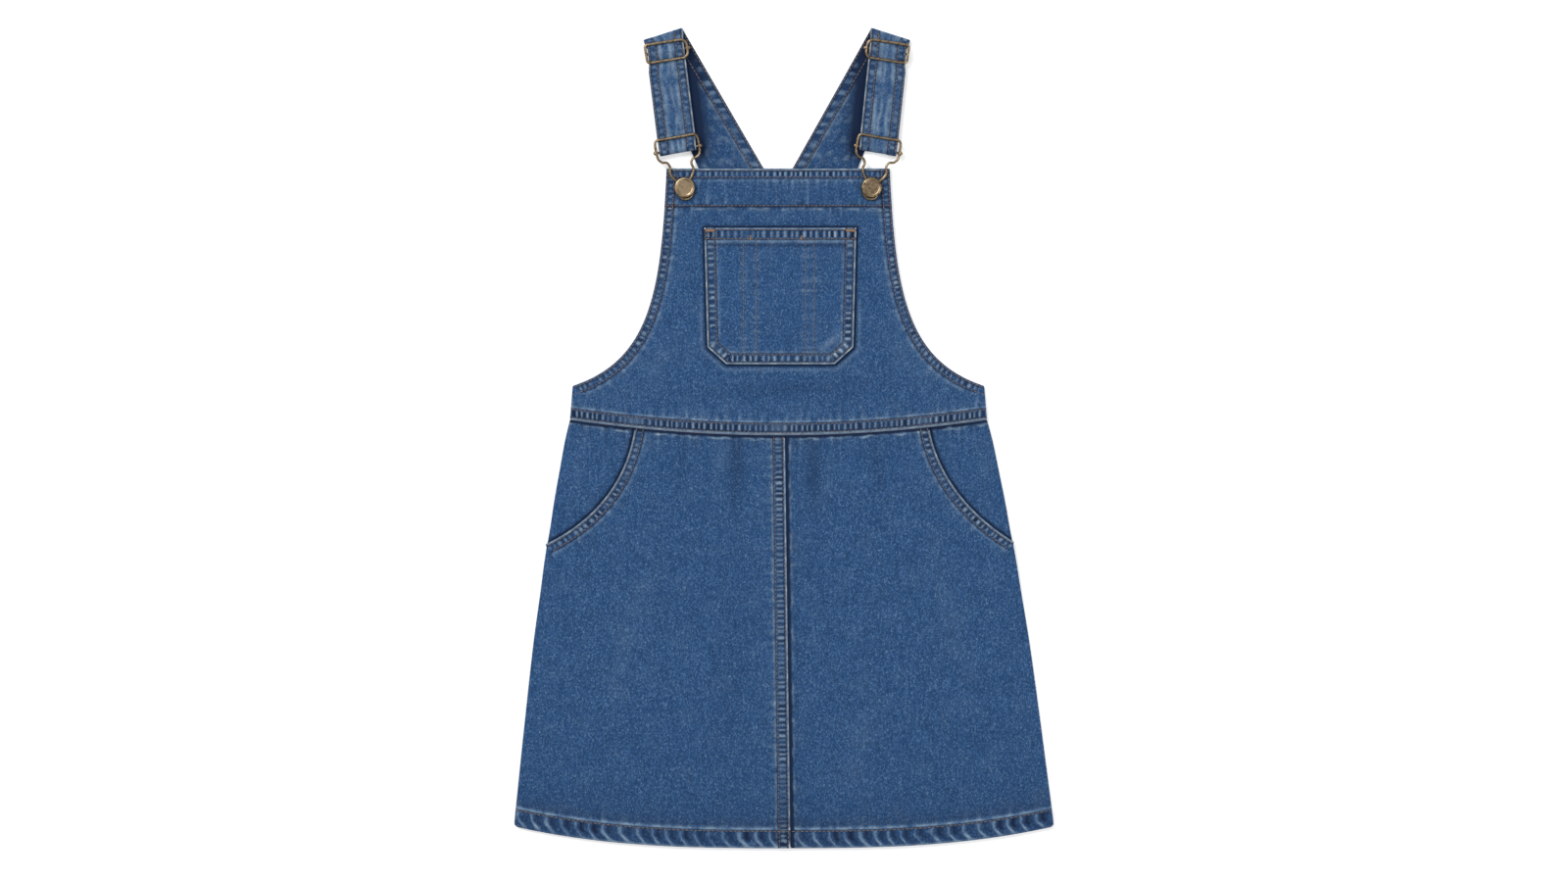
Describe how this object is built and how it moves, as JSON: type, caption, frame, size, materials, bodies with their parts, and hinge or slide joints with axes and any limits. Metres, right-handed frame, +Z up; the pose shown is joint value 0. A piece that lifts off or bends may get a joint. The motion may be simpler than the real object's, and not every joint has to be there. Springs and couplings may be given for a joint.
{
  "type": "overall dress",
  "caption": "Child's denim overall dress laid flat: bib with patch pocket, shoulder straps with wire sliders and buckles, A-line skirt with curved hip pockets.",
  "frame": {"origin": "centre of the garment's bounding box, on the surface that it lies on", "axes": "+Y along the garment from the hem to the shoulders, +X across it to the right as seen from the front, +Z up out of its front"},
  "size_m": [0.4208, 0.64, 0.0083],
  "materials": {
    "denim": "washed mid-blue twill with pale worn edges",
    "denim_inside": "the same denim where it lies in shade",
    "hardware": "antique brass, brushed"
  },
  "bodies": {
    "root": {"bib_front": "denim", "bib_pocket": "denim", "skirt_front_left": "denim", "skirt_front_right": "denim", "hip_panel_left": "denim", "hip_panel_right": "denim", "bodice_back": "denim_inside", "skirt_back": "denim_inside", "strap_left": "denim", "strap_right": "denim", "slider_left": "hardware", "slider_right": "hardware", "buckle_left": "hardware", "buckle_right": "hardware", "button_left": "hardware", "button_right": "hardware"}
  },
  "joints": []
}
